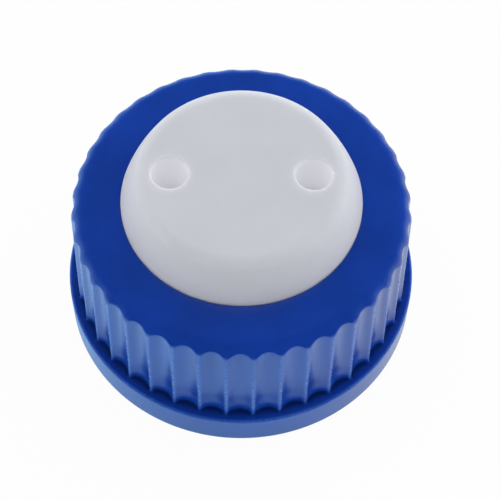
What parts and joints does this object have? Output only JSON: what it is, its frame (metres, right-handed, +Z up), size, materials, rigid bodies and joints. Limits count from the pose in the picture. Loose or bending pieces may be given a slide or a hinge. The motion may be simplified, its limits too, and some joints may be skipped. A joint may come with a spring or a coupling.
{
  "type": "bottle screw cap",
  "caption": "Open-top fluted screw cap for a 45 mm lab bottle thread, turning freely round a white insert with straight ports and a sealing ring.",
  "frame": {"origin": "on the cap's axis, in the plane of its lower rim", "axes": "+Z up along the cap's axis, from the open mouth to the insert's flat top; the two ports lie along X"},
  "size_m": [0.054, 0.054, 0.0325],
  "materials": {
    "cap_blue": "satin moulded polypropylene, deep blue",
    "insert_white": "turned white PTFE, waxy and slightly translucent",
    "seal": "matt translucent grey silicone elastomer"
  },
  "bodies": {
    "cap": {"screw_cap": "cap_blue"},
    "insert": {"port_insert": "insert_white", "seal_ring": "seal"}
  },
  "joints": [
    {"name": "insert_swivel", "type": "hinge", "parent": "cap", "child": "insert", "pos_m": [0, 0, 0.0232], "axis": [0, 0, 1], "continuous": true}
  ]
}
